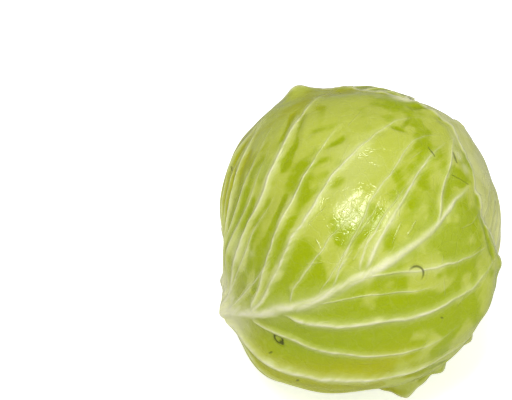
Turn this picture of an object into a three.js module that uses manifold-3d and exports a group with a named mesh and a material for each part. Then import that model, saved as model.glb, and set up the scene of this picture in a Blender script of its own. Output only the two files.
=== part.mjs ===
// A white cabbage as picked, lying on its side: a packed heart, the leaves wrapped round it from the
// heart outwards, and the cut stalk that they grow from. Millimetres, +Z up. The origin is the centre of
// the small flat spot that the head rests on, and the stalk points to -X and a little down.

import * as THREE from 'three';
import { mergeVertices } from 'three/addons/utils/BufferGeometryUtils.js';
import Module from 'manifold-3d';

// The heart is a ball that is shorter one way, roughly along the stalk but turned a little from it, as a
// head grows fuller on one side. It is drawn in round the stalk and swells in a few places.
const HEART_SHORT = 81;
const HEART_LONG = 85;
const HEART_DETAIL = 8; // subdivisions of an icosahedron
const STALK_DROP = THREE.MathUtils.degToRad(20); // how far the stalk end hangs below level
const SQUAT_DROP = THREE.MathUtils.degToRad(6); // and how far the short way does
const SQUAT_TURN = THREE.MathUtils.degToRad(16); // and its turn from the stalk, away from the front
const DRAWN_IN = 8.5;
const DRAWN_IN_SPREAD = THREE.MathUtils.degToRad(48);
const SWELLINGS = [
  { from: 22, around: 141, spread: 21, height: 11 }, // low at the stalk end, towards the front
  { from: 48, around: 311, spread: 33, height: -5 }, // hollows, high at the back and low at the crown
  { from: 118, around: 131, spread: 24, height: -3 },
  { from: 110, around: 326, spread: 13, height: -5 }, // a dent above the top leaf's rib, a fuller crown past it
  { from: 156, around: 342, spread: 15, height: 4 },
  { from: 29, around: 324, spread: 13, height: -4 }, // flatter above the stalk, and at the front far down
  { from: 119, around: 125, spread: 12, height: -3 },
  { from: 72, around: 134, spread: 12, height: -3 },
];

// Each leaf is a shell of this thickness, held a little clear of what it lies on.
const LEAF_THICKNESS = 1;
const LEAF_GAP = 1;
const LEAF_PITCH = LEAF_THICKNESS + LEAF_GAP;
const LEAF_CELLS = 20; // grid cells along and across a leaf
const FRONT_LEAF_CELLS = 26;
const LEAF_SQUARENESS = 2.5; // 2 would be an ellipse
const COVER_FROM = 1.05; // an upper leaf starts to come down this far past a lower leaf's margin
const COVER_TO = 1.24; // and is fully down here, both as shares of the lower leaf's reach

// The midrib is a ridge down the outside of each leaf, thick at the stalk and fine at the tip.
const RIB_HEIGHT = 4.5;
const RIB_HALF_WIDTH = 7;
const RIB_PRINT_HALF_WIDTH = 19; // the soft swelling that it raises in the leaf above
const RIB_PRINT_SHARE = 1.3;

// The cut stalk: a stub that widens into the leaf bases, let into the heart.
const STALK_RADIUS = 13;
const STALK_FLARE = 15.5;
const STALK_INSIDE = 58; // distances from the heart's centre along the axis
const STALK_SHOULDER = 77;
const STALK_END = 86;
const STALK_BEVEL = 1.5;
const STALK_SIDES = 32;
const STALK_CLEARANCE = 0.5;

// The flat spot: how far the leaves are pressed in where the head rests, and how softly that ends.
const REST_PRESS = 5.5;
const REST_BLEND = 3;
const REST_SETTLE = 0.25;

// From the heart outwards. `around` is the midrib's place round the stalk axis, from the top towards -Y;
// `middle` is the leaf's centre, measured from the stalk; tip, base, left and right are how far the blade
// reaches from there. All are degrees seen from the heart's centre. Ruffles are waves of the outline.
const LEAVES = [
  { name: 'far_crown_leaf', around: 282, middle: 112, tip: 84, base: 106, left: 76, right: 72, ruffles: 7 },
  { name: 'near_crown_leaf', around: 98, middle: 112, tip: 76, base: 106, left: 74, right: 76, ruffles: 9 },
  { name: 'back_wrapper_leaf', around: 236, middle: 80, tip: 72, base: 76, left: 78, right: 76, ruffles: 8 },
  { name: 'side_wrapper_leaf', around: 106, middle: 78, tip: 56, base: 74, left: 70, right: 78, ruffles: 7 },
  { name: 'top_wrapper_leaf', around: 322, middle: 78, tip: 66, base: 74, left: 74, right: 76, ruffles: 9 },
  { name: 'under_wrapper_leaf', around: 200, middle: 78, tip: 64, base: 74, left: 80, right: 74, ruffles: 8 },
  { name: 'front_wrapper_leaf', around: 53, middle: 78, tip: 64, base: 74, left: 98, right: 78, ruffles: 11 },
];
const RESTING_LEAF = 5; // the under leaf is the one that touches the surface
const RUFFLE_SHARE = 0.022;

// The front leaf's loose margin turns out from the head here: place round the leaf, spread and height.
const FLARES = [
  { at: 95, spread: 8, height: 8 },
  { at: 56, spread: 12, height: 3 },
  { at: 124, spread: 10, height: 3 },
];

const COLOURS = {
  heart: 0xd6dba6,
  crownLeaf: 0xc9d283,
  wrapperLeaf: 0xb5c94f,
  stalk: 0xe4e6c4,
};

// ---- Directions on the head ----

const AXIS = new THREE.Vector3(-Math.cos(STALK_DROP), 0, -Math.sin(STALK_DROP)); // towards the stalk
const SQUAT = new THREE.Vector3(
  -Math.cos(SQUAT_TURN) * Math.cos(SQUAT_DROP),
  Math.sin(SQUAT_TURN) * Math.cos(SQUAT_DROP),
  -Math.sin(SQUAT_DROP),
);
const UPWARD = new THREE.Vector3(-Math.sin(STALK_DROP), 0, Math.cos(STALK_DROP));
const FRONT = new THREE.Vector3(0, -1, 0);
const DOWN = new THREE.Vector3(0, 0, -1);

const radians = THREE.MathUtils.degToRad;
const smoothstep = (x, from, to) => THREE.MathUtils.smoothstep(x, from, to);

// A sum of scaled vectors.
function blend(...terms) {
  const sum = new THREE.Vector3();
  for (const [vector, share] of terms) sum.addScaledVector(vector, share);
  return sum;
}

// The leaf's own directions: its centre, towards its tip and towards its right side.
function leafAxes(leaf) {
  return {
    centre: directionAt(leaf.middle, leaf.around),
    tip: directionAt(leaf.middle + 90, leaf.around),
    side: directionAt(90, leaf.around + 90),
  };
}

// How far the blade reaches at the bearing `turn`, which is 0 at the tip and a quarter turn at the right:
// four rounded quarters, a little squarer than an ellipse, with waves along the margin.
function reach(leaf, turn) {
  const along = Math.abs(Math.cos(turn)) / (Math.cos(turn) > 0 ? leaf.tip : leaf.base);
  const across = Math.abs(Math.sin(turn)) / (Math.sin(turn) > 0 ? leaf.right : leaf.left);
  const plain = (along ** LEAF_SQUARENESS + across ** LEAF_SQUARENESS) ** (-1 / LEAF_SQUARENESS);
  const freeMargin = smoothstep(Math.cos(turn), -0.8, -0.2); // the base has no ruffles
  const wave = Math.sin(leaf.ruffles * turn + leaf.around) + 0.5 * Math.sin(2.3 * leaf.ruffles * turn);
  return radians(plain) * (1 + RUFFLE_SHARE * wave * freeMargin);
}

// Where a direction falls on a leaf: its share of the way from the centre to the margin, its bearing,
// and its distance along and across the midrib as angles.
function placeOnLeaf(leaf, direction) {
  const axes = leaf.axes;
  const ahead = direction.dot(axes.tip);
  const aside = direction.dot(axes.side);
  const turn = Math.atan2(aside, ahead);
  const angle = Math.acos(THREE.MathUtils.clamp(direction.dot(axes.centre), -1, 1));
  return {
    share: angle / reach(leaf, turn),
    turn,
    across: Math.asin(THREE.MathUtils.clamp(aside, -1, 1)),
    along: Math.atan2(ahead, direction.dot(axes.centre)),
  };
}

// ---- Heights above the heart ----

// The direction that lies `from` degrees from the stalk and `around` degrees round it, from the top
// towards the front.
function directionAt(from, around) {
  const outward = blend([UPWARD, Math.cos(radians(around))], [FRONT, Math.sin(radians(around))]);
  return blend([AXIS, Math.cos(radians(from))], [outward, Math.sin(radians(from))]);
}

// A smooth hill that falls off with the angle between two directions.
function hill(direction, top, spread) {
  return Math.exp(-((direction.angleTo(top) / spread) ** 2));
}

// The heart's radius in a direction.
function heartRadius(direction) {
  const short = direction.dot(SQUAT);
  const long = Math.sqrt(Math.max(0, 1 - short * short));
  let radius = 1 / Math.hypot(short / HEART_SHORT, long / HEART_LONG);
  radius -= DRAWN_IN * hill(direction, AXIS, DRAWN_IN_SPREAD);
  for (const swelling of SWELLINGS) radius += swelling.height * hill(direction, swelling.top, swelling.spread);
  return radius;
}

// The midrib is a smooth ridge across, and tapers from the stalk to the tip. Under another leaf it starts
// a little way from the stalk, where the leaf bases are all pressed together.
function ribHeight(leaf, place, halfWidth) {
  const fromStalk = radians(leaf.middle) + place.along;
  const taper = Math.max(0, 1 - fromStalk / radians(leaf.middle + leaf.tip));
  const start = leaf === LEAVES.at(-1) ? 1 : smoothstep(fromStalk, radians(12), radians(36));
  const apart = (place.across * HEART_LONG) / halfWidth;
  return RIB_HEIGHT * start * taper * Math.exp(-apart * apart);
}

// The height of the leaves below number `count`: one pitch for each leaf that covers this direction,
// easing down past its margin, and the swelling over its midrib.
function stackHeight(direction, count) {
  let height = LEAF_GAP;
  for (const leaf of LEAVES.slice(0, count)) {
    const place = placeOnLeaf(leaf, direction);
    const cover = 1 - smoothstep(place.share, COVER_FROM, COVER_TO);
    const swelling = RIB_PRINT_SHARE * ribHeight(leaf, place, RIB_PRINT_HALF_WIDTH);
    height += cover * (LEAF_PITCH + swelling);
  }
  return height;
}

// The loose margin of the front leaf stands off the head in a few places.
function flareHeight(place) {
  const free = smoothstep(place.share, 0.86, 1) ** 1.5;
  let height = 0;
  for (const flare of FLARES) {
    const apart = (THREE.MathUtils.radToDeg(place.turn) - flare.at) / flare.spread;
    height += flare.height * Math.exp(-apart * apart);
  }
  return free * height;
}

// The larger of two numbers, with a soft change from one to the other.
function softMax(a, b, softness) {
  const near = Math.max(softness - Math.abs(a - b), 0) / softness;
  return Math.max(a, b) + (near * near * softness) / 4;
}

for (const leaf of LEAVES) leaf.axes = leafAxes(leaf);
for (const swelling of SWELLINGS) {
  swelling.top = directionAt(swelling.from, swelling.around);
  swelling.spread = radians(swelling.spread);
}
const RESTING_TOP = stackHeight(DOWN, RESTING_LEAF) + LEAF_THICKNESS;
const CENTRE_HEIGHT = heartRadius(DOWN) + RESTING_TOP - REST_PRESS;

// The point at `height` above the heart, pressed up where the leaves below it rest on the surface.
function pointAt(direction, height) {
  const point = direction.clone().multiplyScalar(heartRadius(direction) + height);
  point.z += CENTRE_HEIGHT;
  if (point.z < REST_BLEND * 4) {
    const below = stackHeight(direction, RESTING_LEAF) + LEAF_THICKNESS - height;
    const floor = Math.max(0, below);
    point.z = Math.max(point.z, floor, softMax(point.z, floor, REST_BLEND) - REST_SETTLE);
  }
  return point;
}

// ---- Solids ----

const wasm = await Module();
wasm.setup();

// A closed three.js geometry as a solid that can be cut.
function solidFrom(geometry) {
  const bare = geometry.clone();
  bare.deleteAttribute('normal');
  bare.deleteAttribute('uv');
  const merged = mergeVertices(bare, 1e-4);
  return new wasm.Manifold(
    new wasm.Mesh({
      numProp: 3,
      vertProperties: merged.attributes.position.array,
      triVerts: new Uint32Array(merged.index.array),
    }),
  );
}

// And a solid back as a geometry.
function geometryFrom(solid) {
  const mesh = solid.getMesh();
  const geometry = new THREE.BufferGeometry();
  geometry.setAttribute('position', new THREE.BufferAttribute(mesh.vertProperties, 3));
  geometry.setIndex(new THREE.BufferAttribute(mesh.triVerts, 1));
  geometry.computeVertexNormals();
  return geometry;
}

// Turns a shape made along +Y so that it runs along the stalk's axis, from the heart's centre.
const ALONG_AXIS = new THREE.Matrix4()
  .makeTranslation(0, 0, CENTRE_HEIGHT)
  .multiply(new THREE.Matrix4().makeRotationFromQuaternion(
    new THREE.Quaternion().setFromUnitVectors(new THREE.Vector3(0, 1, 0), AXIS),
  ));

// The room that the stalk takes in the heart and in the leaf bases.
function stalkRoom() {
  const inside = STALK_INSIDE - STALK_CLEARANCE;
  const profile = [
    [0, inside],
    [STALK_RADIUS + STALK_CLEARANCE, inside],
    [STALK_FLARE + STALK_CLEARANCE, STALK_SHOULDER],
    [STALK_FLARE + STALK_CLEARANCE, STALK_END * 1.4],
    [0, STALK_END * 1.4],
  ];
  const shape = new THREE.LatheGeometry(profile.map(([x, y]) => new THREE.Vector2(x, y)), STALK_SIDES);
  return solidFrom(shape.applyMatrix4(ALONG_AXIS));
}

const STALK_ROOM = stalkRoom();

// The heart: a fine ball of triangles moved out to its surface, with a socket for the stalk.
function heart() {
  const ball = new THREE.IcosahedronGeometry(1, HEART_DETAIL);
  const places = ball.attributes.position;
  const direction = new THREE.Vector3();
  for (let i = 0; i < places.count; i += 1) {
    direction.fromBufferAttribute(places, i).normalize();
    const point = pointAt(direction, 0);
    places.setXYZ(i, point.x, point.y, point.z);
  }
  return geometryFrom(solidFrom(ball).subtract(STALK_ROOM));
}

// A square grid bent to a round outline: each pair of numbers from -1 to 1 becomes a share of the way
// to the margin and a bearing.
function gridPlace(across, along) {
  const x = across * Math.sqrt(1 - (along * along) / 2);
  const y = along * Math.sqrt(1 - (across * across) / 2);
  return { share: Math.hypot(x, y), turn: Math.atan2(x, y) };
}

// One leaf: an outer and an inner sheet on the same grid, joined round the margin.
function leafGeometry(index) {
  const leaf = LEAVES[index];
  const { centre, tip, side } = leaf.axes;
  const isFront = index === LEAVES.length - 1;
  const cells = isFront ? FRONT_LEAF_CELLS : LEAF_CELLS;
  const across = cells + 1;
  const sheet = across * across;
  const points = [];
  for (const outer of [true, false]) {
    for (let row = 0; row < across; row += 1) {
      for (let column = 0; column < across; column += 1) {
        const { share, turn } = gridPlace((2 * column) / cells - 1, (2 * row) / cells - 1);
        const angle = share * reach(leaf, turn);
        const direction = blend(
          [centre, Math.cos(angle)],
          [tip, Math.sin(angle) * Math.cos(turn)],
          [side, Math.sin(angle) * Math.sin(turn)],
        );
        const place = placeOnLeaf(leaf, direction);
        let height = stackHeight(direction, index);
        if (isFront) height += flareHeight(place);
        if (outer) height += LEAF_THICKNESS + ribHeight(leaf, place, RIB_HALF_WIDTH);
        points.push(...pointAt(direction, height).toArray());
      }
    }
  }

  const faces = [];
  const quad = (a, b, c, d) => faces.push(a, b, c, a, c, d);
  for (let row = 0; row < cells; row += 1) {
    for (let column = 0; column < cells; column += 1) {
      const corner = row * across + column;
      quad(corner, corner + 1, corner + across + 1, corner + across);
      quad(sheet + corner, sheet + corner + across, sheet + corner + across + 1, sheet + corner + 1);
    }
  }
  const last = cells * across;
  for (let cell = 0; cell < cells; cell += 1) {
    const left = cell * across;
    const right = left + cells;
    quad(sheet + cell, sheet + cell + 1, cell + 1, cell);
    quad(last + cell, last + cell + 1, sheet + last + cell + 1, sheet + last + cell);
    quad(left, left + across, sheet + left + across, sheet + left);
    quad(sheet + right, sheet + right + across, right + across, right);
  }

  const geometry = new THREE.BufferGeometry();
  geometry.setAttribute('position', new THREE.Float32BufferAttribute(points, 3));
  geometry.setIndex(faces);
  return geometryFrom(solidFrom(geometry).subtract(STALK_ROOM));
}

// The stalk in its own frame, along +Y from the heart's centre: a turned stub with a cut end.
function stalkGeometry() {
  const profile = [
    [0, STALK_INSIDE],
    [STALK_RADIUS, STALK_INSIDE],
    [STALK_FLARE, STALK_SHOULDER],
    [STALK_FLARE, STALK_END - STALK_BEVEL],
    [STALK_FLARE - STALK_BEVEL, STALK_END],
    [0, STALK_END],
  ];
  return new THREE.LatheGeometry(profile.map(([x, y]) => new THREE.Vector2(x, y)), STALK_SIDES);
}

// ---- Materials and the assembled head ----

const leafMaterial = (colour) => new THREE.MeshStandardMaterial({ color: colour, roughness: 0.42, metalness: 0 });
const materials = {
  heart: leafMaterial(COLOURS.heart),
  crownLeaf: leafMaterial(COLOURS.crownLeaf),
  wrapperLeaf: leafMaterial(COLOURS.wrapperLeaf),
  stalk: new THREE.MeshStandardMaterial({ color: COLOURS.stalk, roughness: 0.7, metalness: 0 }),
};

function named(name, geometry, material) {
  const mesh = new THREE.Mesh(geometry, material);
  mesh.name = name;
  return mesh;
}

const cabbage = new THREE.Group();
cabbage.add(named('heart', heart(), materials.heart));

LEAVES.forEach((leaf, index) => {
  const material = leaf.name.includes('crown') ? materials.crownLeaf : materials.wrapperLeaf;
  cabbage.add(named(leaf.name, leafGeometry(index), material));
});

const stalk = named('stalk', stalkGeometry(), materials.stalk);
stalk.position.set(0, 0, CENTRE_HEIGHT);
stalk.quaternion.setFromUnitVectors(new THREE.Vector3(0, 1, 0), AXIS);
cabbage.add(stalk);

export default cabbage;
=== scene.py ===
import math
from functools import partial, reduce

import bpy
import numpy as np
from mathutils import Matrix, Quaternion, Vector


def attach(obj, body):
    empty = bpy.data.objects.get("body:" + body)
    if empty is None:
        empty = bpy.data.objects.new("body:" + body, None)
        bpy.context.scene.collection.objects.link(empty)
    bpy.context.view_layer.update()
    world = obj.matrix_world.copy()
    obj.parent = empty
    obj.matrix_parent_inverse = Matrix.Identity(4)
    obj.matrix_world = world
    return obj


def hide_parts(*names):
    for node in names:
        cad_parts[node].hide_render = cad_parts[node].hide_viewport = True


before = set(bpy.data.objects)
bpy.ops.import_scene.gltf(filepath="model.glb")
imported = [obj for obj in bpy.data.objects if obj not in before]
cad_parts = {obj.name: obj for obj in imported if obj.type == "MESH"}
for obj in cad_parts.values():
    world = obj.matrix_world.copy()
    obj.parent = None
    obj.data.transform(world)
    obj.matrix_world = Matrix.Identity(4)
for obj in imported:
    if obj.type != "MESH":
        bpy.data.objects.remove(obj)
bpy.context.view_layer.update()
print("loaded the cabbage:", sorted(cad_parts))

# where the head is looked at from: degrees round it and above the level, and metres
viewFrom = {"around": -22, "above": 43, "distance": 0.844, "lens": 100, "middle": (0, 0, 0.090),
            "aimLeft": 0.0608, "aimUp": 0.01625, "roll": -1.5}

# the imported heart, in millimetres and degrees: a ball that is shorter one way, drawn in round the stalk,
# with swellings and hollows as (degrees from the stalk, degrees round it, spread, height)
head = {
    "short": 81, "long": 85, "squatDrop": 6, "squatTurn": 16,
    "stalkDrop": 20, "drawnIn": 8.5, "drawnInSpread": 48,
    "swellings": [(22, 141, 21, 11), (48, 311, 33, -5), (118, 131, 24, -3), (110, 326, 13, -5),
                  (156, 342, 15, 4), (29, 324, 13, -4), (119, 125, 12, -3), (72, 134, 12, -3),
                  (147, 350, 11, 2.5), (118, 99, 11, 3.5), (68, 112, 10, -2), (35, 4, 9, 2), (18, 86, 7, 2)],
    "restPress": 5.5, "restBlend": 3, "restSettle": 0.25, "restingLeaf": 5,
}

# how the leaves lie on the heart and on each other, in millimetres and as shares of a leaf's reach; their
# bases end `baseEdge` degrees from the stalk's axis
layers = {"thickness": 1, "gap": 1, "coverFrom": 1.05, "coverTo": 1.24, "squareness": 2.5, "ruffle": 0.022,
          "ribHeight": 4.5, "ribHalfWidth": 7, "printHalfWidth": 19, "printShare": 1.3, "baseEdge": 9.1}

# the leaves from the heart outwards: place of the midrib round the stalk, place of the middle, how far the
# blade reaches from it, waves of the outline, grid of the finished surface; `tongues` lengthen or shorten the
# blade, as (bearing from the tip, spread, share), and at `calm` bearings the margin lies flat, as (bearing,
# how far off it starts to lift, where it lifts in full)
leaves = [
    {"name": "far_crown_leaf", "around": 282, "middle": 112, "tip": 84, "base": 106, "left": 76, "right": 72,
     "ruffles": 7, "cells": (232, 240), "seed": 11},
    {"name": "near_crown_leaf", "around": 98, "middle": 112, "tip": 76, "base": 106, "left": 74, "right": 76,
     "ruffles": 9, "cells": (232, 240), "seed": 12},
    {"name": "back_wrapper_leaf", "around": 236, "middle": 80, "tip": 72, "base": 76, "left": 78, "right": 76,
     "ruffles": 8, "cells": (232, 220), "seed": 13},
    {"name": "side_wrapper_leaf", "around": 106, "middle": 78, "tip": 56, "base": 74, "left": 70, "right": 78,
     "ruffles": 7, "cells": (220, 200), "seed": 14},
    {"name": "top_wrapper_leaf", "around": 322, "middle": 78, "tip": 66, "base": 74, "left": 74, "right": 76,
     "ruffles": 9, "cells": (232, 220), "seed": 15, "tongues": [(5, 20, -0.13)], "calm": [(5, 16, 32)]},
    {"name": "under_wrapper_leaf", "around": 200, "middle": 78, "tip": 64, "base": 74, "left": 80,
     "right": 74, "ruffles": 8, "cells": (232, 220), "seed": 16},
    {"name": "front_wrapper_leaf", "around": 53, "middle": 78, "tip": 64, "base": 74, "left": 98, "right": 78,
     "ruffles": 11, "cells": (336, 260), "seed": 17, "tongues": [(-19, 11, 0.13), (-29, 8, 0.06)],
     "calm": [(-38, 8, 20), (-74, 4, 10)]},
]
frontLeaf = leaves[-1]

# the front leaf's margin turns out here, as (bearing from the tip, spread, height in millimetres)
frontFlares = [(98.5, 5.5, 11), (106, 3, 3), (90, 3.5, 3.5), (82, 3, 3.5), (66, 3, 2), (-86, 5.5, 3.8)]
# the thick base of the front leaf, at the stalk: height in millimetres, spread out and round in degrees
petiole = {"height": 5, "out": 11, "round": 42}

# side ribs of the front leaf as (start, stop, turn, bend, half width, curl): they run from `start` to `stop`
# degrees from the stalk and turn round the head on the way, early where `bend` is under 1, and by `curl` late
frontRibs = [
    (6, 116, -58, 0.38, 2.4, -44), (32, 106, -57, 0.80, 1.7, 0), (30, 132, -68, 1.10, 1.9, 25),
    (86, 138, -27, 0.65, 1.9, 0), (84, 118, -21, 0.50, 1.1, 0), (115, 146, -35, 1.35, 1.6, 0),
    (72, 140, -48, 0.88, 1.1, 20), (56, 92, -20, 0.50, 1.0, 0), (66, 104, -20, 0.85, 0.8, 0),
    (3, 88, -76, 0.12, 2.3, -24), (3, 90, -92, 0.12, 2.0, 0), (4, 84, -62, 0.15, 1.6, -18),
    (4, 78, -53, 0.18, 1.5, -14), (3, 86, -85, 0.12, 1.4, -4), (3, 96, -104, 0.15, 2.0, 0),
    (3, 90, -120, 0.15, 1.7, 0), (5, 72, -37, 0.28, 1.4, -10), (12, 62, -22, 0.45, 1.3, 0),
    (80, 136, 33, 1.45, 1.5, 0), (58, 110, 20, 1.30, 1.0, 0), (49, 138, 32, 0.55, 2.5, 12),
    (26, 108, 45, 0.66, 1.8, -6), (3, 124, 43.5, 0.16, 2.5, 20), (3, 92, 66, 0.30, 1.7, 0),
    (3, 84, 84, 0.30, 1.5, 0),
]
# the front midrib bows a little: degrees round at the stalk, change per degree, and a turn near the tip
frontBow = {"start": 5, "slope": -0.03, "turn": -7, "from": 100, "to": 140}

# deep yellow-green patches (above 0) and hazy ones (below 0) of the front leaf: degrees from the stalk and
# round from the midrib, spread in degrees, strength; the wide hazy one at 92 degrees and -27 round is painted
# sheen about the highlight
frontPatches = [
    (50, 34, 22, 0.9), (68, 28, 18, 0.7), (85, 20, 14, 0.4), (104, 33, 12, 0.5), (100, -62, 24, -0.5),
    (108, -36, 16, -0.7), (52, -46, 18, -0.25), (112, 58, 12, -0.9), (122, 40, 7, -0.8), (92, 58, 10, -0.6),
    (92, -27, 12, -0.7), (98, -4, 8, -0.3), (66, -9, 6, 1), (85, -13, 5, 1), (68, -2, 5, 0.9), (53, -4, 4, 1),
    (96, -15, 4, 1.2), (72, 8, 4, 0.7), (60, 12, 4, 0.6), (121, 7, 5, 0.9), (120, 20, 5, 0.9),
    (109, 26, 4, 0.9), (104, 36, 6, 0.9), (98, 44, 5, 0.6), (79, -35, 4, 0.6), (111, -81, 6, 0.9),
    (125, -56, 5, 0.9), (114, -16, 5, 0.3), (62, 33, 7, 0.5), (44, 18, 9, 0.6), (56, -60, 5, 0.4),
    (67, -44, 5, 0.4), (108, -42, 4, 0.6), (93, -54, 5, 0.4), (101, -45, 3, 0.5), (128, -28, 4, 0.6),
    (135, -12, 4, 0.6), (118, -2, 3, 0.3), (101, -27, 6, -0.4), (86, -50, 6, -0.3), (115, -40, 6, -0.2),
    (92, -4, 4, -0.4), (140, -38, 7, -0.9), (135, -13, 4, 1.0),
]
# where the deep tone is yellower, as the degrees at which it changes: round from the midrib to the right and
# to the left, and from the stalk near it and towards the tip
frontRipe = {"right": (24, 38), "left": (58, 78), "base": (25, 45), "tip": (75, 100)}
# whitish spots of the front leaf, in the same measures as its patches; the three at 90 to 100 degrees from
# the stalk and -18 to -34 round are painted sheen about the highlight
frontPaleAndSheen = [
    (128, -66, 5, 0.9), (133, -68, 5, 0.9), (140, -24, 2.5, 0.7), (141, -17, 2.5, 0.6), (146, -38, 5, 0.4),
    (100, -34, 9, 0.3), (91, -22, 7, 0.32), (90, -18, 4, 0.25), (20, 20, 9, 0.25), (24, -40, 12, 0.35),
    (41, -37, 7, 0.5), (69, -55, 5, 0.3), (74, -85, 6, 0.4),
]

# folds pressed into the front leaf: both ends in degrees from the stalk and round from the midrib, half width
# and depth in millimetres; along them the colour is deepened and darkened as painted shade
frontFolds = [
    (89, -71, 81, -60, 1.5, 1.3), (92, -67, 85, -54, 1.8, 1.2), (85, -54, 76, -48, 1.6, 1.0),
    (95, -54, 90, -54, 2.0, 0.6), (101, -45, 93, -45, 1.8, 0.7), (72, -37, 64, -29, 1.4, 1.4),
    (64, -29, 53, -20, 1.6, 1.7), (53, -20, 39, -10, 1.9, 1.8), (54, -33, 46, -26, 1.4, 0.9),
    (47, -41, 38, -36, 1.4, 1.0), (58, -49, 50, -40, 1.3, 0.9), (60, -80, 52, -72, 1.5, 1.3),
    (114, -42, 107, -41, 1.6, 0.9), (117, -44, 122, -40, 1.3, 0.8), (121, -42, 127, -49, 1.3, 0.8),
    (143, -55, 125, -34, 1.5, 0.7), (125, -34, 114, -28, 1.5, 0.5), (130, -56, 139, -59, 1.7, 1.3),
    (139, 10, 135, 22, 1.8, 1.0), (135, 22, 133, 34, 1.6, 0.8), (72, -84, 60, -80, 1.6, 1.2),
    (67, -73, 52, -60, 1.5, 1.0), (60, 48, 46, 49, 2.0, 1.1), (74, 51, 60, 48, 2.0, 1.1),
    (88, 22, 78, 24, 2.2, 0.6), (83, 50, 90, 53, 1.8, 1.1), (90, 53, 97, 61, 1.8, 1.1),
    (86, 76, 91, 72, 1.5, 1.1), (74, 78, 79, 81, 1.6, 1.1),
]

# short side veins and thin dark lines of the front leaf: both ends in the same degrees, and half width in
# millimetres
frontVeins = [
    (76, -16, 76, -12, 0.5), (69, -10, 74, -8, 0.6), (64, -6, 71, -10, 0.6), (63, -19, 67, -19, 0.5),
    (82, -7, 88, -11, 0.7), (78, -3, 85, -7, 0.7), (84, -4, 92, -9, 0.7), (104, -10, 108, -18, 0.6),
    (104, -3, 109, -6, 0.6), (98, -3, 104, -8, 0.5), (125, 7, 131, 9, 0.6), (131, 9, 136, 8, 0.8),
    (121, 19, 130, 21, 0.5), (111, 13, 113, 11, 0.5), (107, 25, 109, 19, 0.5), (90, 10, 99, 17, 0.4),
    (76, -22, 84, -24, 0.4), (95, -36, 101, -42, 0.4), (104, -50, 111, -56, 0.4), (87, 39, 95, 37, 0.4),
    (67, 36, 76, 38, 0.4), (109, 33, 115, 30, 0.5), (72, -50, 80, -55, 0.4), (60, 13, 66, 14, 0.5),
    (118, -28, 124, -30, 0.4),
]
# thin dark lines; the three at 54 to 57 degrees from the stalk and -72 to -82 round are painted shadow that a
# neighbouring head casts
frontNicksAndShadow = [
    (137, -26, 137, -21, 1.9), (132, -16, 139, -8, 0.5), (127, -31, 127.5, -26, 0.7),
    (45.5, 46, 44.5, 47.5, 1.1), (102, 32, 102.5, 33, 0.7), (57, -75, 54, -73, 1.5),
    (34.5, 34, 36, 32.5, 0.8), (57, -82, 56.5, -79, 1.2), (56.5, -76, 55, -72, 1.2),
]


def smooth(x, low, high):
    # 0 below low, 1 above high, and 3t² - 2t³ between
    t = np.clip((x - low) / (high - low), 0, 1)
    return t * t * (3 - 2 * t)


def hill(x, spread, power=2):
    # exp(-(x/spread)^power)
    return np.exp(-((x / spread) ** power))


def unit(*parts):
    # the sum of vectors, each times its share
    return sum(np.multiply.outer(share, vector) for vector, share in parts)


stalkDrop, squatDrop = math.radians(head["stalkDrop"]), math.radians(head["squatDrop"])
squatTurn = math.radians(head["squatTurn"])
axis = np.array([-math.cos(stalkDrop), 0, -math.sin(stalkDrop)])  # towards the stalk
upward = np.array([-math.sin(stalkDrop), 0, math.cos(stalkDrop)])
frontward = np.array([0.0, -1.0, 0.0])
squat = np.array([-math.cos(squatTurn) * math.cos(squatDrop), math.sin(squatTurn) * math.cos(squatDrop),
                  -math.sin(squatDrop)])


def directionAt(fromStalk, around):
    # cos(from) along the stalk plus sin(from) across it, turned `around` from the top towards the front
    f, a = np.radians(fromStalk), np.radians(around)
    return unit((axis, np.cos(f)), (upward, np.sin(f) * np.cos(a)), (frontward, np.sin(f) * np.sin(a)))


def angleFrom(d, vector):
    # the angle between each direction and one vector
    return np.arccos(np.clip(d @ vector, -1, 1))


def reach(leaf, turn):
    # four rounded quarters, (|cos/along|^n + |sin/across|^n)^(-1/n), with waves along the free margin and
    # tongues, which are hills of the bearing
    n = layers["squareness"]
    along = np.abs(np.cos(turn)) / np.where(np.cos(turn) > 0, leaf["tip"], leaf["base"])
    across = np.abs(np.sin(turn)) / np.where(np.sin(turn) > 0, leaf["right"], leaf["left"])
    plain = (along**n + across**n) ** (-1 / n)
    wave = np.sin(leaf["ruffles"] * turn + leaf["around"]) + 0.5 * np.sin(2.3 * leaf["ruffles"] * turn)
    bearing = np.degrees(turn)
    tongues = sum(extra * hill(bearing - at, spread) for at, spread, extra in leaf.get("tongues", []))
    return np.radians(plain) * (1 + layers["ruffle"] * wave * smooth(np.cos(turn), -0.8, -0.2) + tongues)


def placeOnLeaf(leaf, d):
    # the share of the way to the margin, the bearing from the tip, and the angles along and across the midrib
    ahead, aside, out = d @ leaf["toTip"], d @ leaf["toSide"], d @ leaf["centre"]
    turn = np.arctan2(aside, ahead)
    share = np.arccos(np.clip(out, -1, 1)) / reach(leaf, turn)
    return share, turn, np.arctan2(ahead, out), np.arcsin(np.clip(aside, -1, 1))


def heartRadius(d):
    # an ellipsoid, 1 / hypot(short part / short, long part / long), with hills exp(-(angle/spread)²)
    short = d @ squat
    long = np.sqrt(np.maximum(0, 1 - short * short))
    radius = 1 / np.hypot(short / head["short"], long / head["long"])
    radius = radius - head["drawnIn"] * hill(angleFrom(d, axis), math.radians(head["drawnInSpread"]))
    for fromStalk, around, spread, height in head["swellings"]:
        radius = radius + height * hill(angleFrom(d, directionAt(fromStalk, around)), math.radians(spread))
    return radius


def midribHeight(leaf, along, across, halfWidth):
    # height × start × (1 - way to the tip) × exp(-(across/halfWidth)²); under another leaf it starts later
    fromStalk = math.radians(leaf["middle"]) + along
    taper = np.maximum(0, 1 - fromStalk / math.radians(leaf["middle"] + leaf["tip"]))
    start = 1 if leaf is frontLeaf else smooth(fromStalk, math.radians(12), math.radians(36))
    return layers["ribHeight"] * start * taper * hill(across * head["long"], halfWidth)


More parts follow.
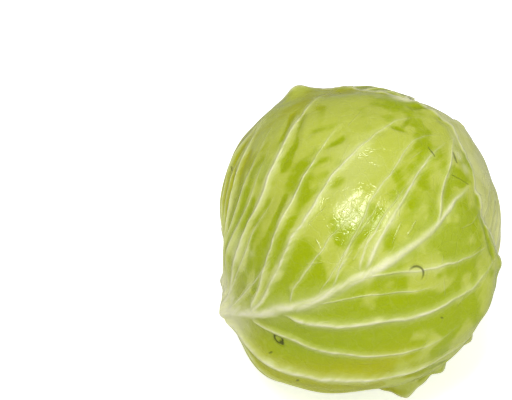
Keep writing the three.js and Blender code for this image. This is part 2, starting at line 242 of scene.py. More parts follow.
def stackHeight(d, count):
    # the gap, plus for each lower leaf its cover × (one layer + the swelling over its midrib)
    height = np.full(d.shape[:-1], float(layers["gap"]))
    for leaf in leaves[:count]:
        share, turn, along, across = placeOnLeaf(leaf, d)
        cover = 1 - smooth(share, layers["coverFrom"], layers["coverTo"])
        swelling = layers["printShare"] * midribHeight(leaf, along, across, layers["printHalfWidth"])
        height += cover * (layers["thickness"] + layers["gap"] + swelling)
    return height


for leaf in leaves:
    leaf["centre"] = directionAt(leaf["middle"], leaf["around"])
    leaf["toTip"] = directionAt(leaf["middle"] + 90, leaf["around"])
    leaf["toSide"] = directionAt(90, leaf["around"] + 90)

# the middle of the heart is as high as the heart and the leaves under it reach, less a little press
down = np.array([0.0, 0.0, -1.0])
restingTop = float(stackHeight(down, head["restingLeaf"])) + layers["thickness"]
centreHeight = float(heartRadius(down)) + restingTop - head["restPress"]
print("the middle of the heart is %.1f mm up" % centreHeight)


def pointAt(d, height):
    # direction × (heart + height), raised to a floor: the soft maximum of z and the floor, settled a little
    point = d * (heartRadius(d) + height)[..., None]
    z = point[..., 2] + centreHeight
    floor = np.maximum(0, stackHeight(d, head["restingLeaf"]) + layers["thickness"] - height)
    k = head["restBlend"]
    near = np.maximum(k - np.abs(z - floor), 0) / k
    soft = np.maximum(z, floor) + near * near * k / 4 - head["restSettle"]
    point[..., 2] = np.where(z < 4 * k, np.maximum(np.maximum(z, floor), soft), z)
    return point


def ripples(d, size, seed):
    # a sum of 22 plane waves about `size` millimetres long on a ball of 90, in seeded directions, with a
    # spread near 1
    rng, count = np.random.default_rng(seed), 22
    ways = rng.normal(size=(3, count))
    ways *= (2 * math.pi * 90 / size) * rng.uniform(0.7, 1.4, count) / np.linalg.norm(ways, axis=0)
    return np.sin(d @ ways + rng.uniform(0, 2 * math.pi, count)).sum(-1) * math.sqrt(2 / count)


# a midrib's half widths and height in millimetres, a side rib's height as a share of its half width, and the
# radius of the ball that ribs, folds and spots are laid out on
midrib = {"base": 5.6, "tip": 0.6, "height": 1.8}
sideRibHeight = 0.8
ribRadius = 92


def sideRibs(leaf):
    # ribs on both sides of the midrib, further apart and turning less towards the tip
    if leaf is frontLeaf:
        return frontRibs
    rng = np.random.default_rng(leaf["seed"])
    ribs = []
    for side in (-1, 1):
        start = rng.uniform(6, 9)
        while start < leaf["middle"] + 0.45 * leaf["tip"]:
            way = start / (leaf["middle"] + leaf["tip"])
            turn = side * (96 * (1 - way) ** 1.6 + 12) * rng.uniform(0.85, 1.1)
            stop = start + rng.uniform(62, 84) * (1 - 0.35 * way)
            ribs.append((start, stop, turn, rng.uniform(0.55, 0.95), rng.uniform(1.2, 2.4) * (1 - 0.4 * way),
                         side * rng.uniform(-8, 12)))
            start += rng.uniform(5, 9) + 9 * way
    return ribs


for leaf in leaves:
    leaf["ribs"] = sideRibs(leaf)


def ribPlace(leaf, d, across):
    # degrees from the stalk, degrees round from the midrib with a little sway, millimetres across the midrib
    # with the same, and the millimetres that one degree round comes to, ribRadius × sin(from)
    fromStalk = np.degrees(angleFrom(d, axis))
    around = np.degrees(np.arctan2(d @ frontward, d @ upward)) - leaf["around"]
    around = (around + 180) % 360 - 180
    lane = np.maximum(np.radians(1) * np.sin(np.radians(fromStalk)) * ribRadius, 0.02)
    sway = 0.55 * ripples(d, 34, leaf["seed"] + 50) + 0.2 * ripples(d, 11, leaf["seed"] + 51)
    sway = smooth(fromStalk, 15, 60) * sway
    if leaf is frontLeaf:
        late = smooth(fromStalk, frontBow["from"], frontBow["to"])
        sway = sway - lane * (frontBow["start"] + frontBow["slope"] * fromStalk + frontBow["turn"] * late)
    return {"fromStalk": fromStalk, "roundStalk": around + sway / lane, "lane": lane,
            "acrossMidrib": across * ribRadius + sway}


def midribWidth(leaf, fromStalk):
    # half the midrib's width: base × (1 - way to the tip)^0.8 + tip
    way = np.clip(fromStalk / (leaf["middle"] + leaf["tip"]), 0, 1)
    return midrib["base"] * (1 - way) ** 0.8 + midrib["tip"]


def ribRelief(leaf, place):
    # ridges of height × (0.6 exp(-(apart/width)²) + 0.4 exp(-(apart/2.2 width)²)), of which the highest
    # counts, wide halos exp(-(apart/width)²), the distance to the nearest rib, and a count of the ribs passed
    # on the way round; a side rib's line is turn × s^bend + curl × s⁴, with s = (from - start)/(stop - start)
    fromStalk, lane = place["fromStalk"], place["lane"]
    way = np.clip(fromStalk / (leaf["middle"] + leaf["tip"]), 0, 1)
    end = 1 - smooth(way, 0.93, 1)

    def ridge(apart, half):
        return 0.6 * hill(apart, half) + 0.4 * hill(apart, 2.2 * half)

    half = midribWidth(leaf, fromStalk)
    apart = np.abs(place["acrossMidrib"])
    height = midrib["height"] * ridge(apart, 0.7 * half) * (1 - 0.75 * way) * end
    halo = hill(apart, 1.7 * half) * end
    nearest, passed = apart.copy(), np.zeros_like(apart)
    for start, stop, turn, bend, width, curl in leaf["ribs"]:
        raw = (fromStalk - start) / (stop - start)
        s = np.clip(raw, 0.004, 1)
        slope = turn * bend * s ** (bend - 1) + 4 * curl * s**3
        slope = slope / (stop - start) * lane / (np.radians(1) * ribRadius)
        off = (place["roundStalk"] - turn * s**bend - curl * s**4) * lane / np.sqrt(1 + slope**2)
        apart = np.abs(off)
        shown = smooth(raw, -0.02, 0.06) * (1 - smooth(raw, 0.66, 1.03))
        half = width * (1 - 0.6 * np.clip(raw, 0, 1))
        height = np.maximum(height, sideRibHeight * half * ridge(apart, 0.6 * half + 0.75) * shown)
        halo = np.maximum(halo, hill(apart, 1.7 * half + 0.5) * shown * min(1, 0.1 + 0.4 * width))
        nearest = np.minimum(nearest, apart + 40 * (1 - shown))
        passed += 0.5 * np.tanh(off / 6) * smooth(raw, -0.4, 0.4)
    return height, halo, nearest, passed


def softened(field, cells):
    # the mean of a grid over a square of 2 × cells + 1, twice along each way, with its edge repeated outwards
    size = 2 * cells + 1
    for way in (0, 1, 0, 1):
        edges = [(cells + 1, cells) if k == way else (0, 0) for k in (0, 1)]
        padded = np.pad(field, edges, mode="edge").cumsum(way)
        field = (np.take(padded, range(size, padded.shape[way]), way)
                 - np.take(padded, range(padded.shape[way] - size), way)) / size
    return field


def clearOfStalk(d):
    # leaf bases end round the stalk: from' = (from⁴ + edge⁴)^(1/4), with the same place round the stalk
    fromStalk = np.degrees(angleFrom(d, axis))
    across = d - (d @ axis)[..., None] * axis
    across = across / np.maximum(np.linalg.norm(across, axis=-1, keepdims=True), 1e-9)
    moved = np.radians((fromStalk**4 + layers["baseEdge"]**4) ** 0.25)
    return across * np.sin(moved)[..., None] + np.multiply.outer(np.cos(moved), axis)


# a blade's skin in millimetres: thickness, the share of it that the margin loses, and the least of it in a
# hollow; how far the fields between the ribs stand up (or sink, below 0) at the stalk and at the tip, and
# between which degrees from the stalk that changes; waves, crumples and lifts as (height, length); how far
# the margin is pressed down; its rim; the share of its relief that a covered leaf keeps; how deep the blade
# settles into the stack; and where on the way to the margin it starts to thin, lift, crumple, flare and press
bladeShape = {
    "thickness": 0.8, "thinned": 0.4, "puffAtStalk": -1.6, "puffAtTip": 0.3, "wave": 0.4, "frontWave": 0.22,
    "waveLength": 28, "shortWave": (0.05, 10), "crumples": [(0.4, 13), (0.5, 30)],
    "lifts": [(0.7, 36), (0.3, 15)], "liftMost": 2, "pressed": 0.9, "frontPressed": 0.4, "rim": 0.4,
    "covered": 0.25, "settled": 0.5, "thinnest": 0.35, "puffFrom": 38, "puffTo": 92,
    "thinFrom": 0.93, "liftFrom": 0.93, "crumpleFrom": 0.90, "flareFrom": 0.88, "pressFrom": 0.86,
}


def leafGrid(leaf):
    # a square grid bent to a disc, x = a√(1 - b²/2) and y = b√(1 - a²/2), laid over the head from the leaf's
    # centre as far as its reach × (1 + a fringe of sines that grows with share⁸)
    columns, rows = leaf["cells"]
    a, b = np.meshgrid(np.linspace(-1, 1, columns + 1), np.linspace(-1, 1, rows + 1))
    x, y = a * np.sqrt(1 - b * b / 2), b * np.sqrt(1 - a * a / 2)
    share, turn = np.hypot(x, y), np.arctan2(x, y)
    phase = leaf["seed"] * 10
    fringe = 0.004 * np.sin(41 * turn + phase) + 0.003 * np.sin(67 * turn + 2 * phase)
    fringe = fringe + 0.002 * np.sin(113 * turn)
    stretch = 1 + fringe * share**8
    angle = share * reach(leaf, turn) * stretch
    d = unit((leaf["centre"], np.cos(angle)), (leaf["toTip"], np.sin(angle) * np.cos(turn)),
             (leaf["toSide"], np.sin(angle) * np.sin(turn)))
    return clearOfStalk(d), stretch


def waved(d, waves, seed):
    # the sum of each wave's height × its ripples, with one seed after the other
    return sum(height * ripples(d, size, seed + k) for k, (height, size) in enumerate(waves))


def pressedFolds(leaf, d):
    # depth × exp(-(apart/width)²), of which the deepest counts, where apart is the distance to the nearest
    # point of the fold's line, and a wider mask of the same kind that fades towards the ends, along which the
    # colour is painted with shade
    folds, creaseshade = np.zeros(d.shape[:-1]), np.zeros(d.shape[:-1])
    for fromA, aroundA, fromB, aroundB, width, depth in frontFolds if leaf is frontLeaf else []:
        first, last = (directionAt(f, leaf["around"] + a) for f, a in ((fromA, aroundA), (fromB, aroundB)))
        way = last - first
        t = np.clip((d - first) @ way / (way @ way), 0, 1)
        apart = ribRadius * np.linalg.norm(d - first - t[..., None] * way, axis=-1)
        folds = np.maximum(folds, depth * hill(apart, width))
        faint = (1 - 0.5 * (2 * t - 1) ** 2) * min(1, depth)
        creaseshade = np.maximum(creaseshade, faint * hill(apart, 1.25 * width))
    return folds, creaseshade


def tissueMasks(leaf, d, place, free, seed):
    # clouds of tone with the front leaf's patches, strength × exp(-(apart/spread)⁴) with a wandering edge,
    # how yellow the deep tone is, and how blanched the tissue is: near the stalk, where covered, and in
    # spots; a few of the hazy patches and whitish spots are painted sheen
    fromStalk, around = place["fromStalk"], place["roundStalk"]
    tone = 0.5 * ripples(d, 34, seed + 5) + 0.3 * ripples(d, 12, seed + 6)
    ripe = np.full_like(tone, 0.3)
    pale = 1 - smooth(fromStalk, 9, 27) + 0.7 * (1 - free)
    if leaf is frontLeaf:
        ripe = smooth(around, *frontRipe["right"]) * (1 - smooth(fromStalk, *frontRipe["tip"]))
        ripe = ripe + smooth(-around, *frontRipe["left"]) + 0.5 * (1 - smooth(fromStalk, *frontRipe["base"]))
        wander = 1 + 0.16 * ripples(d, 11, seed + 9)

        def spots(places, power):
            for spotFrom, spotAround, spread, strength in places:
                apart = np.degrees(angleFrom(d, directionAt(spotFrom, leaf["around"] + spotAround))) * wander
                yield strength * hill(apart, spread, power)

        tone = sum(spots(frontPatches, 4), 0.6 * tone)
        pale = sum(spots(frontPaleAndSheen, 3), pale)
    return {"tone": tone, "ripe": ripe, "pale": np.clip(pale, 0, 1)}


def leafForm(index):
    # the inner face is the stack - 0.5 + flares + lift - press at the margin, and the outer face is the soft
    # maximum of the inner one + 0.35 and the inner one + thickness + midrib + ribs, quilting, waves and folds
    leaf = leaves[index]
    isFront = leaf is frontLeaf
    seed = leaf["seed"] * 10
    d, stretch = leafGrid(leaf)
    share, turn, along, across = placeOnLeaf(leaf, d)
    share, bearing = share / stretch, np.degrees(turn)
    free = np.ones_like(share)  # 0 where another leaf lies on this one
    for upper in leaves[index + 1:]:
        free *= smooth(placeOnLeaf(upper, d)[0], 1.0, 1.12)
    place = ribPlace(leaf, d, across)
    fromStalk = place["fromStalk"]
    ribHeight, halo, nearest, passed = ribRelief(leaf, place)

    quilt = 1 - hill(nearest, 2.5 + 4 * smooth(fromStalk, 15, 70))
    puffed = smooth(fromStalk, bladeShape["puffFrom"], bladeShape["puffTo"])
    puff = bladeShape["puffAtTip"] * puffed + bladeShape["puffAtStalk"] * (1 - puffed)
    shortHeight, shortLength = bladeShape["shortWave"]
    waves = bladeShape["frontWave" if isFront else "wave"] * ripples(d, bladeShape["waveLength"], seed + 1)
    waves = waves + shortHeight * ripples(d, shortLength, seed + 2) * quilt
    crumple = smooth(share, bladeShape["crumpleFrom"], 1) * waved(d, bladeShape["crumples"], seed + 3)
    folds, creaseshade = pressedFolds(leaf, d)
    relief = ribHeight + puff * quilt + waves * smooth(fromStalk, 12, 50) + crumple - folds
    relief = relief * (bladeShape["covered"] + (1 - bladeShape["covered"]) * free) * smooth(fromStalk, 3, 14)
    relief = softened(relief, 1) + bladeShape["rim"] * hill(share - 0.985, 0.012) * free
    # painted shade and light: hollow is how far the relief lies below its own surroundings; the tissue
    # deepens the green in it as painted shade and pales its raised opposite as painted light
    hollow = (softened(relief, 5) - softened(relief, 1)) / 0.28 * (1 - 0.6 * smooth(fromStalk, 70, 100))

    offStalk = smooth(fromStalk, 15, 35)
    lift = free * smooth(share, bladeShape["liftFrom"], 1) * offStalk
    lift = lift * waved(d, bladeShape["lifts"], seed + 7)
    for at, low, high in leaf.get("calm", []):
        lift = lift * smooth(np.abs(bearing - at), low, high)
    inner = stackHeight(d, index) - bladeShape["settled"] + np.clip(lift, 0, bladeShape["liftMost"])
    press = bladeShape["frontPressed" if isFront else "pressed"] * smooth(share, bladeShape["pressFrom"], 1)
    inner = inner - press * offStalk
    ridge = 0.8 * midribHeight(leaf, along, across, layers["ribHalfWidth"])
    if isFront:
        flare = sum(height * hill(bearing - at, spread) for at, spread, height in frontFlares)
        inner = inner + flare * smooth(share, bladeShape["flareFrom"], 1) ** 1.5
        ridge = ridge + (petiole["height"] * hill(fromStalk, petiole["out"], 4)
                         * hill(place["roundStalk"], petiole["round"]))
    thinned = bladeShape["thinned"] * smooth(share, bladeShape["thinFrom"], 1)
    above = bladeShape["thickness"] * (1 - thinned) + ridge + relief - bladeShape["thinnest"]
    outer = inner + bladeShape["thinnest"] + (above + np.sqrt(above**2 + 0.04)) / 2

    masks = {**place, **tissueMasks(leaf, d, place, free, seed), "halo": halo, "nearest": nearest,
             "passed": passed, "hollow": np.clip(hollow, -1.5, 1.5), "edge": smooth(share, 0.965, 0.985),
             "creaseshade": creaseshade}
    return pointAt(d, outer), pointAt(d, inner), masks


def newMesh(name, points, faces):
    # a smooth-shaded mesh of points in millimetres
    mesh = bpy.data.meshes.new(name)
    mesh.from_pydata((points / 1000).tolist(), [], faces)
    mesh.polygons.foreach_set("use_smooth", np.ones(len(mesh.polygons), bool))
    return mesh


def addMask(mesh, name, values):
    # a number for each vertex, which materials read by its name
    mesh.attributes.new(name, "FLOAT", "POINT").data.foreach_set("value", values)


def linked(name, data):
    # a new object in the scene, at the origin
    made = bpy.data.objects.new(name, data)
    bpy.context.scene.collection.objects.link(made)
    return made


innerStep = 4  # how many times coarser a leaf's inner face is
# the two corners between which each face of a blade lies on its flat map
flatMap = {"outer": ((0.01, 0.01), (0.99, 0.79)), "inner": ((0.01, 0.81), (0.60, 0.94)),
           "rim": ((0.01, 0.96), (0.99, 0.985))}


def leafMesh(name, outer, inner, masks):
    # the outer grid, a coarser inner grid, and fans of triangles between their margins; one flat map holds
    # the outer face, the inner face beside it, and the rim as a strip
    step, half = innerStep, innerStep // 2
    inner = inner[::step, ::step]
    number = np.arange(outer.shape[0] * outer.shape[1]).reshape(outer.shape[:2])
    innerNumber = number.size + np.arange(inner.shape[0] * inner.shape[1]).reshape(inner.shape[:2])

    def quads(n):
        return np.stack([n[:-1, :-1], n[:-1, 1:], n[1:, 1:], n[1:, :-1]], -1).reshape(-1, 4)

    def around(n):
        return np.concatenate([n[0, :-1], n[:-1, -1], n[-1, :0:-1], n[:0:-1, 0]])

    def flat(shape, low, high):
        v, u = np.meshgrid(np.linspace(0, 1, shape[0]), np.linspace(0, 1, shape[1]), indexing="ij")
        return np.stack([low[0] + u * (high[0] - low[0]), low[1] + v * (high[1] - low[1])], -1).reshape(-1, 2)

    def corner(isInner, offset):
        # the vertex `offset` outer steps on from each inner vertex of the margin, and its place on the strip
        at = step * np.arange(len(innerRim)) + offset
        vertex = innerRim[at // step % len(innerRim)] if isInner else rim[at % len(rim)]
        (left, low), (right, high) = flatMap["rim"]
        along = left + (right - left) * at / len(rim)
        return vertex, np.stack([along, np.full(len(at), high if isInner else low)], -1)

    rim, innerRim = around(number), around(innerNumber)
    fans = [((1, 0), (0, j + 1), (0, j)) for j in range(half)] + [((1, 0), (1, step), (0, half))]
    fans += [((1, step), (0, j + 1), (0, j)) for j in range(half, step)]
    corners = [[corner(*place) for place in fan] for fan in fans]
    triangles = np.concatenate([np.stack([vertex for vertex, _ in fan], -1) for fan in corners])
    strip = np.concatenate([np.stack([place for _, place in fan], 1) for fan in corners])
    outerQuads, innerQuads = quads(number), quads(innerNumber)[:, ::-1]
    mesh = newMesh(name, np.concatenate([outer.reshape(-1, 3), inner.reshape(-1, 3)]),
                   outerQuads.tolist() + innerQuads.tolist() + triangles.tolist())
    place = np.concatenate([flat(outer.shape, *flatMap["outer"]), flat(inner.shape, *flatMap["inner"])])
    uv = np.concatenate([place[outerQuads].ravel(), place[innerQuads].ravel(), strip.ravel()])
    mesh.uv_layers.new(name="OFBake").data.foreach_set("uv", uv)
    for key, values in masks.items():
        addMask(mesh, key, np.concatenate([values.ravel(), values[::step, ::step].ravel()]))
    mesh.update()
    return mesh


# shader helpers
def fill(tree, made, inputs):
    # sets each input by name or number, with a link where the value is another node's output
    for key, value in inputs.items():
        if isinstance(value, bpy.types.NodeSocket):
            tree.links.new(value, made.inputs[key])
        else:
            made.inputs[key].default_value = value


def node(tree, kind, inputs=None, **settings):
    # a new node with its settings and inputs
    made = tree.nodes.new(kind)
    for key, value in settings.items():
        setattr(made, key, value)
    fill(tree, made, inputs or {})
    return made


def maths(tree, operation, *values):
    # one operation on numbers
    return node(tree, "ShaderNodeMath", dict(enumerate(values)), operation=operation).outputs[0]


def vectors(tree, operation, *values):
    # one operation on vectors; a length or a dot product comes out as a number
    made = node(tree, "ShaderNodeVectorMath", dict(enumerate(values)), operation=operation)
    return made.outputs["Value" if operation in ("LENGTH", "DOT_PRODUCT") else 0]


def scaled(tree, vector, scale):
    # vector × scale
    return node(tree, "ShaderNodeVectorMath", {0: vector, "Scale": scale}, operation="SCALE").outputs[0]


def clamped(tree, value):
    # held between 0 and 1
    return node(tree, "ShaderNodeClamp", {0: value}).outputs[0]


def mixed(tree, share, first, second):
    # the colour first × (1 - share) + second × share
    return node(tree, "ShaderNodeMix", {0: share, 6: first, 7: second}, data_type="RGBA").outputs[2]


def ranged(tree, value, low, high, outLow=0.0, outHigh=1.0, steps="LINEAR"):
    # from outLow at `low` to outHigh at `high`
    made = node(tree, "ShaderNodeMapRange", {0: value, 1: low, 2: high, 3: outLow, 4: outHigh},
                interpolation_type=steps)
    return made.outputs[0]


def fading(tree, value, full, gone):
    # 1 at `full`, 0 at `gone`, and a smooth step between
    return ranged(tree, value, full, gone, 1.0, 0.0, "SMOOTHSTEP")


def noise(tree, place, scale, detail, output="Fac"):
    # clouds about 1 / scale metres wide
    made = node(tree, "ShaderNodeTexNoise", {"Vector": place, "Scale": scale, "Detail": detail})
    return made.outputs[output]


def placed(tree, group, **inputs):
    # the outputs of a node group that is placed in the tree
    return node(tree, "ShaderNodeGroup", inputs, node_tree=group).outputs


def newGroup(name, floats, outputs, vectorInputs=(), colours=()):
    # an empty group, its inputs and outputs, and its own maths, of which `times` is a × b
    group = bpy.data.node_groups.new(name, "ShaderNodeTree")
    for kind, names in (("Vector", vectorInputs), ("Float", floats), ("Color", colours)):
        for socketName in names:
            group.interface.new_socket(socketName, in_out="INPUT", socket_type="NodeSocket" + kind)
    for socketName, kind in outputs.items():
        group.interface.new_socket(socketName, in_out="OUTPUT", socket_type="NodeSocket" + kind)
    given, out = group.nodes.new("NodeGroupInput").outputs, group.nodes.new("NodeGroupOutput").inputs
    return group, given, out, partial(maths, group), partial(maths, group, "MULTIPLY")


def ribLine():
    # line = turn × s^bend + curl × s⁴ with s = (from - start) / (stop - start), and apart = |round - line| ×
    # lane / √(1 + slope²); the ridge is 1 where apart is small beside width × (1 - 0.6 s), and both ends fade
    sockets = ("From", "Round", "Lane", "Start", "Stop", "Turn", "Bend", "Width", "Curl")
    group, given, out, do, times = newGroup("ribLine", sockets, {"Ridge": "Float"})
    run = do("SUBTRACT", given["Stop"], given["Start"])
    raw = do("DIVIDE", do("SUBTRACT", given["From"], given["Start"]), run)
    s = do("MINIMUM", do("MAXIMUM", raw, 0.004), 1.0)
    bent = times(given["Turn"], do("POWER", s, given["Bend"]))
    curled = times(given["Curl"], times(s, times(s, s)))
    line = do("MULTIPLY_ADD", curled, s, bent)
    slope = do("MULTIPLY_ADD", curled, 4.0, do("DIVIDE", times(bent, given["Bend"]), s))
    perDegree = times(given["Lane"], 1 / (math.radians(1) * ribRadius))
    slope = times(do("DIVIDE", slope, run), perDegree)
    apart = times(do("ABSOLUTE", do("SUBTRACT", given["Round"], line)), given["Lane"])
    apart = do("DIVIDE", apart, do("SQRT", do("MULTIPLY_ADD", slope, slope, 1.0)))
    half = times(given["Width"], do("MULTIPLY_ADD", s, -0.6, 1.0))
    ridge = fading(group, do("DIVIDE", apart, half), 0.0, 1.0)
    ends = times(fading(group, raw, 0.60, 1.03), fading(group, raw, 0.06, -0.02))
    strength = do("MINIMUM", do("MULTIPLY_ADD", given["Width"], 0.35, 0.2), 1.0)
    group.links.new(times(times(ridge, ends), strength), out["Ridge"])
    return group


def midribLine():
    # the ridge is 1 where |across| is small beside base × (1 - from/end)^0.8 + tip, and fades out at the end
    group, given, out, do, times = newGroup("midribLine", ("From", "Across", "End"), {"Ridge": "Float"})
    way = do("MINIMUM", do("DIVIDE", given["From"], given["End"]), 1.0)
    half = do("MULTIPLY_ADD", do("POWER", do("SUBTRACT", 1.0, way), 0.8), midrib["base"], midrib["tip"])
    apart = do("DIVIDE", do("ABSOLUTE", given["Across"]), half)
    ridge = times(fading(group, apart, 0.1, 1.15), fading(group, way, 0.88, 0.99))
    group.links.new(ridge, out["Ridge"])
    return group


def scarSpot():
    # x = distance from the centre / radius: a ring where x is 1, whole or only towards `side`, where it is
    # painted shade along a crease, or a speck where x is under 1; the surface sinks inside it and stands up
    # just outside
    group, given, out, do, times = newGroup("scarSpot", ("Radius", "Whole", "Speck", "Thick", "Strength"),
                                            {"BrownAndShade": "Float", "Height": "Float"},
                                            ("Place", "Centre", "Side"))
    apart = vectors(group, "SUBTRACT", given["Place"], given["Centre"])
    x = do("DIVIDE", vectors(group, "LENGTH", apart), given["Radius"])
    towards = do("DIVIDE", vectors(group, "DOT_PRODUCT", apart, given["Side"]), given["Radius"])
    part = do("MAXIMUM", fading(group, towards, 0.75, -0.35), given["Whole"])
    ring = times(fading(group, do("ABSOLUTE", do("SUBTRACT", x, 1.0)), 0.02, given["Thick"]), part)
    speck = times(fading(group, x, 0.5, 1.3), given["Speck"])
    mark = do("MAXIMUM", times(ring, do("SUBTRACT", 1.0, given["Speck"])), speck)
    group.links.new(times(mark, given["Strength"]), out["BrownAndShade"])
    sunk = times(fading(group, x, 0.8, 1.0), -0.5)
    rim = times(fading(group, do("ABSOLUTE", do("SUBTRACT", x, 1.35)), 0.0, 0.3), 0.35)
    group.links.new(times(do("ADD", sunk, rim), part), out["Height"])
    return group


def shortLine():
    # t = the share of the way from one end to the other, and off = |place - first - t (last - first)|; the
    # mask is 1 on the line and 0 just past `Width` metres out, and thins towards its ends
    group, given, out, do, times = newGroup("shortLine", ("Width",), {"Mask": "Float"},
                                            ("Place", "First", "Way"))
    apart = vectors(group, "SUBTRACT", given["Place"], given["First"])
    t = clamped(group, do("DIVIDE", vectors(group, "DOT_PRODUCT", apart, given["Way"]),
                          vectors(group, "DOT_PRODUCT", given["Way"], given["Way"])))
    off = vectors(group, "LENGTH", vectors(group, "SUBTRACT", apart, scaled(group, given["Way"], t)))
    thin = do("MULTIPLY_ADD", do("ABSOLUTE", do("SUBTRACT", t, 0.5)), -1.1, 1.0)
    x = do("DIVIDE", off, times(given["Width"], thin))
    group.links.new(fading(group, x, 0.2, 1.1), out["Mask"])
    return group


# linear colours of the hazy blade, its deep patches, their yellow kind, blanched tissue, cream ribs, and the
# brown of scars, which also paints shade in creases, along a crease's arc and over a few nicks
leafLooks = {
    "wrapper": {"Blade": (0.49, 0.54, 0.085), "Deep": (0.36, 0.44, 0.0), "Yellow": (0.43, 0.455, 0.0),
                "Blanched": (0.635, 0.67, 0.28), "Cream": (0.77, 0.76, 0.53), "BrownAndShade": (0.07, 0.08, 0.0)},
    "crown": {"Blade": (0.60, 0.62, 0.25), "Deep": (0.55, 0.58, 0.17), "Yellow": (0.53, 0.55, 0.16),
              "Blanched": (0.64, 0.66, 0.32), "Cream": (0.64, 0.66, 0.36), "BrownAndShade": (0.12, 0.08, 0.03)},
    "heart": {"Blade": (0.62, 0.67, 0.33), "Deep": (0.54, 0.62, 0.20), "Yellow": (0.55, 0.60, 0.20),
              "Blanched": (0.70, 0.73, 0.42), "Cream": (0.78, 0.79, 0.55), "BrownAndShade": (0.12, 0.08, 0.03)},
}

# clouds as (1 / size in metres, detail) and nets as (1 / size, thickness, share), and how much each pattern
# deepens the blade's green, veils it with whitish tissue, and raises it in millimetres; the deepening by
# hollow and crease is painted shade, and the veiling by ridge is painted light on raised parts; side veins
# lie where from, nearest, passed and mottle, each times its share in `veinSlant`, come to a multiple of 2
# `veinSpacing`
tissueLook = {
    "clouds": {"cloud": (38, 5), "mottle": (110, 3), "speckle": (420, 5), "swell": (38, 1),
               "pucker": (330, 2), "grain": (1300, 2)},
    "nets": [(95, 0.06, 1), (260, 0.11, 0.5)], "netSway": 0.006, "netSwayCloud": (160, 2),
    "deepens": {"hollow": 0.45, "cloud": -1.1, "mottle": -0.6, "streak": -0.6, "creaseshade": 1.5},
    "veils": {"ridge": 0.18, "veinlets": 0.13, "speckle": 0.38, "sideVein": 0.08, "vein": 0.34},
    "raises": {"veinlets": -0.12, "swell": 0.4, "mottle": 0.08, "pucker": 0.07, "speckle": 0.045,
               "grain": 0.012, "rib": 0.6, "vein": 0.25, "sideVein": 0.08, "nick": -0.5},
    "roughness": (0.14, 0.28), "ribRoughness": 0.28, "veinSpacing": 4.2, "veinSlant": (1.6, -1.2, 2.7, 9.0),
}


